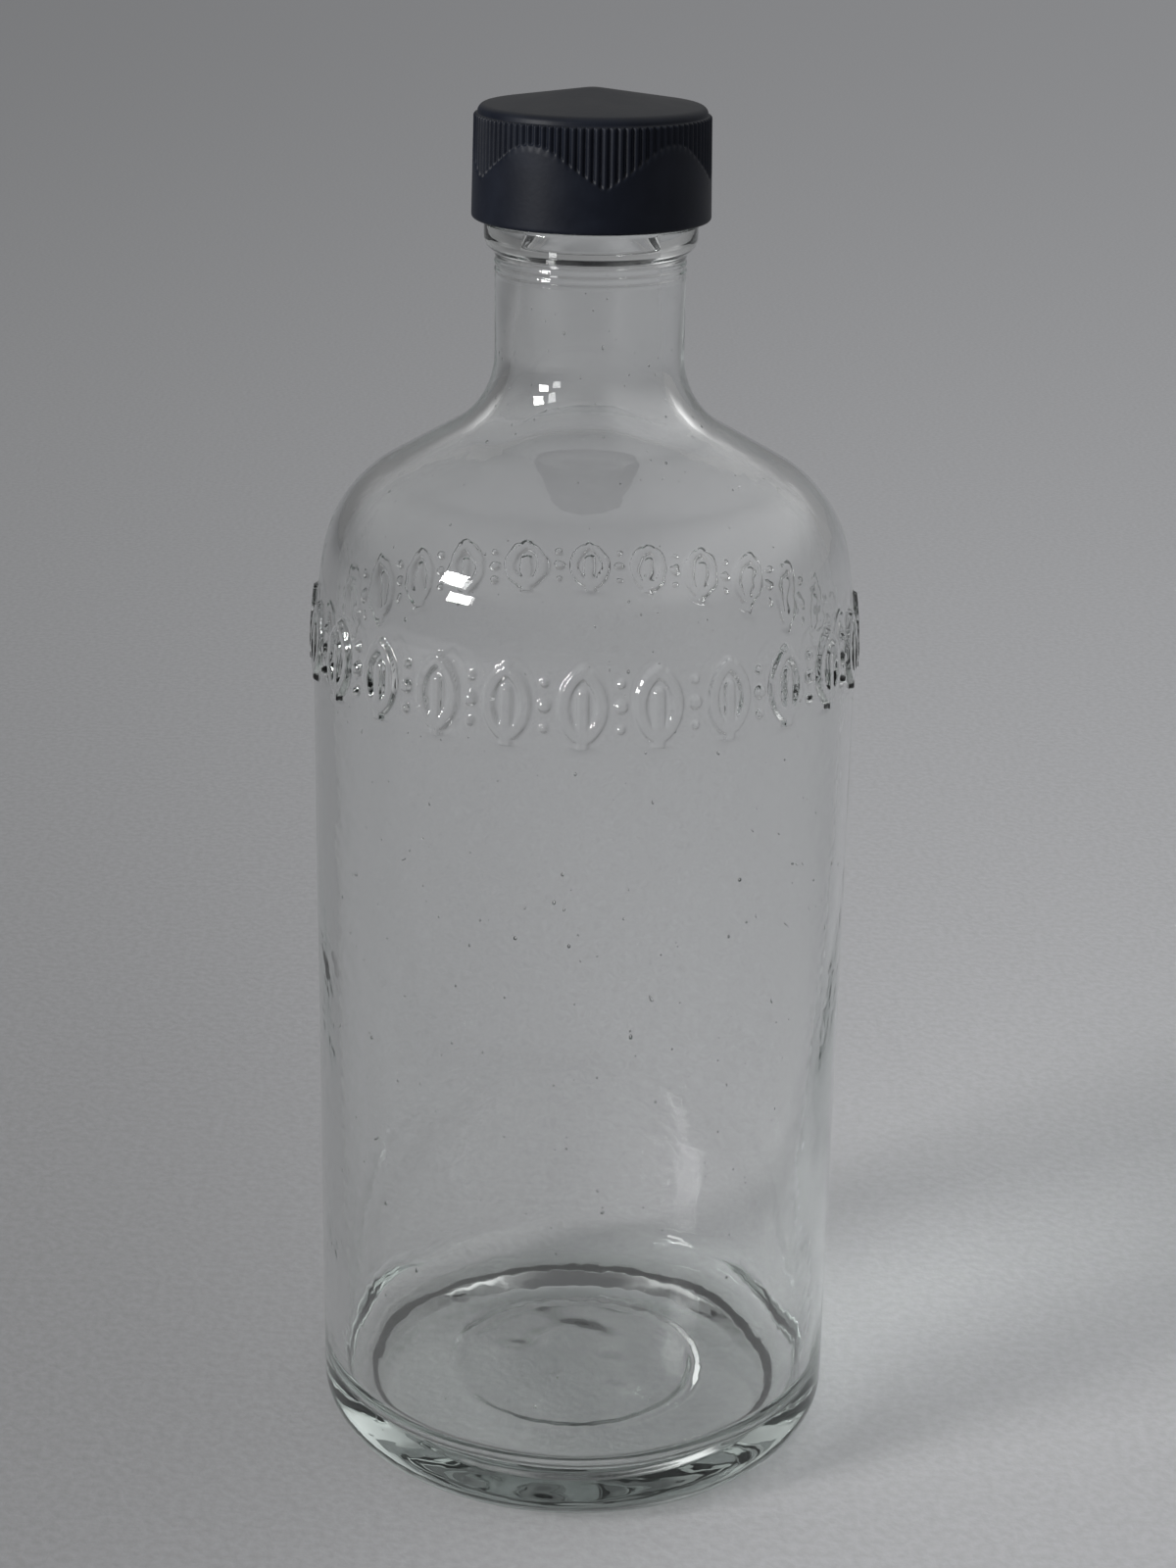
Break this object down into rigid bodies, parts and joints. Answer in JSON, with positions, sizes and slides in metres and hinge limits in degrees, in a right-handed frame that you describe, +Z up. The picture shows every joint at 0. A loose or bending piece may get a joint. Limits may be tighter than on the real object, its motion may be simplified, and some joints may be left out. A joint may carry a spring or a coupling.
{
  "type": "medicine bottle",
  "caption": "Tall round hollow clear glass bottle with sloping shoulders, a plain neck under a moulded bead, and a dark knurled screw cap with smooth arches below the knurling.",
  "frame": {"origin": "middle of the ring that the bottle stands on, on the bottle's axis", "axes": "+Z up along the bottle's axis, -Y towards the viewer, +X to the viewer's right"},
  "size_m": [0.0734, 0.0734, 0.1902],
  "materials": {
    "clear_glass": "clear, faintly grey-green where thick, with small seeds",
    "dark_cap": "semi-gloss moulded, near black"
  },
  "bodies": {
    "root": {"glass_bottle": "clear_glass", "screw_cap": "dark_cap"}
  },
  "joints": []
}
